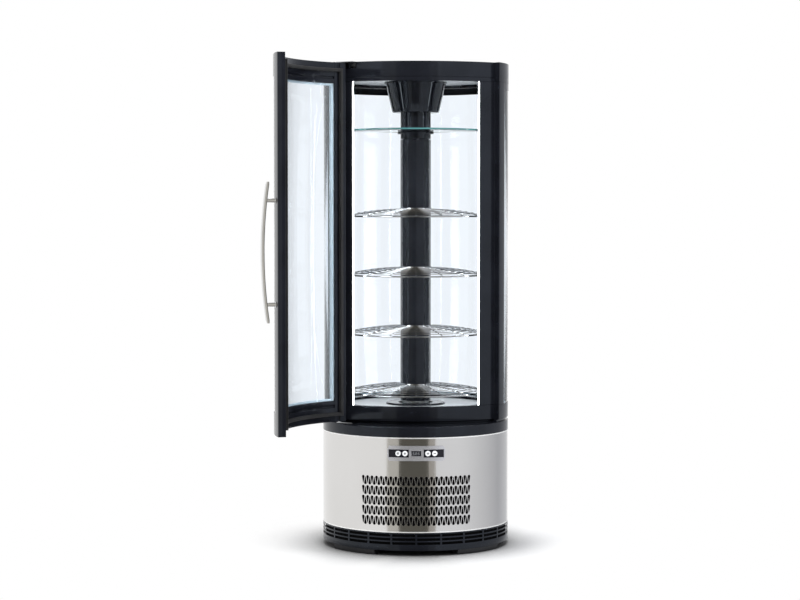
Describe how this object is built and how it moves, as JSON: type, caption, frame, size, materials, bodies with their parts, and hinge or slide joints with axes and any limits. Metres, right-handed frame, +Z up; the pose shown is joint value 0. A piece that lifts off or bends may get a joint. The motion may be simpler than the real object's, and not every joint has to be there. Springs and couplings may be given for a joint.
{
  "type": "cake display case",
  "caption": "Round refrigerated cake display case with turning wire shelves, curved glazing and a bowed glass door shown open.",
  "frame": {"origin": "on the floor under the middle of the whole object with its door open", "axes": "+Z up, the front with the control panel towards -Y, the door hinge on the -X side"},
  "size_m": [0.8602, 1.0792, 1.75],
  "materials": {
    "black_gloss": "glossy black coated moulding",
    "black_matte": "matte black coated steel",
    "stainless": "brushed stainless steel",
    "silver_plastic": "satin silver moulding",
    "chrome": "chromed steel wire and plate",
    "white_panel": "white coated panel",
    "clear_glass": "clear double glazing",
    "rubber": "black rubber",
    "steel": "plain steel",
    "aluminium": "plain aluminium",
    "foam": "foamed insulation",
    "light_strip": "opal light strip cover",
    "button_white": "white push button cap",
    "copper": "copper tube",
    "circuit_green": "green circuit board"
  },
  "bodies": {
    "cabinet": {"base_cap": "black_gloss", "base_plate": "black_matte", "bottom_frame": "black_gloss", "ceiling_housing": "black_gloss", "ceiling_panel": "white_panel", "column_base_flange": "black_gloss", "compressor": "black_matte", "condenser_coil": "aluminium", "condenser_motor": "steel", "control_bezel": "silver_plastic", "control_board": "circuit_green", "control_fascia": "black_gloss", "deck_insulation": "foam", "deck_panel": "white_panel", "drip_tray": "black_matte", "drive_gearmotor": "steel", "evaporator_coil": "aluminium", "evaporator_motor": "steel", "fan_shroud": "black_matte", "fixed_sleeve": "black_gloss", "front_post_left": "black_gloss", "front_post_right": "black_gloss", "glass_shelf": "clear_glass", "light_strip_left": "light_strip", "light_strip_right": "light_strip", "lower_bearing": "steel", "lower_hinge": "chrome", "plinth": "black_gloss", "power_inlet": "black_matte", "rear_glass": "clear_glass", "rear_post_left": "black_gloss", "rear_post_right": "black_gloss", "refrigerant_pipe": "copper", "roof_insulation": "foam", "roof_panel": "black_matte", "side_glass_left": "clear_glass", "side_glass_right": "clear_glass", "skirt": "stainless", "top_frame": "black_gloss", "upper_bearing": "steel", "upper_hinge": "chrome"},
    "door": {"door_hinge_stile": "black_gloss", "door_handle_stile": "black_gloss", "door_bottom_rail": "black_gloss", "door_top_rail": "black_gloss", "door_glass": "clear_glass", "door_gasket": "rubber", "door_handle": "stainless"},
    "carousel": {"column_tube": "black_gloss", "carousel_shaft": "steel", "wire_shelf_1": "chrome", "wire_shelf_2": "chrome", "wire_shelf_3": "chrome", "wire_shelf_4": "chrome"},
    "evaporator_rotor": {"evaporator_fan": "black_matte"},
    "condenser_rotor": {"condenser_fan": "black_matte"},
    "button_cap_1": {"button_1": "button_white"},
    "button_cap_2": {"button_2": "button_white"},
    "button_cap_3": {"button_3": "button_white"},
    "button_cap_4": {"button_4": "button_white"}
  },
  "joints": [
    {"name": "door_hinge", "type": "hinge", "parent": "cabinet", "child": "door", "pos_m": [-0.18257, 0.00522, 1.105], "axis": [0, 0, 1], "range_deg": [-15, 110]},
    {"name": "carousel_spin", "type": "hinge", "parent": "cabinet", "child": "carousel", "pos_m": [0.09007, 0.18943, 0.5233], "axis": [0, 0, 1], "continuous": true},
    {"name": "evaporator_fan_spin", "type": "hinge", "parent": "cabinet", "child": "evaporator_rotor", "pos_m": [0.09007, 0.18943, 1.6209], "axis": [0, 0, 1], "continuous": true},
    {"name": "condenser_fan_spin", "type": "hinge", "parent": "cabinet", "child": "condenser_rotor", "pos_m": [0.09007, -0.00827, 0.1406], "axis": [0, 1, 0], "continuous": true},
    {"name": "button_1_press", "type": "slide", "parent": "cabinet", "child": "button_cap_1", "axis": [0.1874, 0.9823, 0], "range_m": [0, 0.0015], "stiffness_N_per_m": 300},
    {"name": "button_2_press", "type": "slide", "parent": "cabinet", "child": "button_cap_2", "axis": [0.1167, 0.9932, 0], "range_m": [0, 0.0015], "stiffness_N_per_m": 300},
    {"name": "button_3_press", "type": "slide", "parent": "cabinet", "child": "button_cap_3", "axis": [-0.1201, 0.9928, 0], "range_m": [0, 0.0015], "stiffness_N_per_m": 300},
    {"name": "button_4_press", "type": "slide", "parent": "cabinet", "child": "button_cap_4", "axis": [-0.19, 0.9818, 0], "range_m": [0, 0.0015], "stiffness_N_per_m": 300}
  ]
}
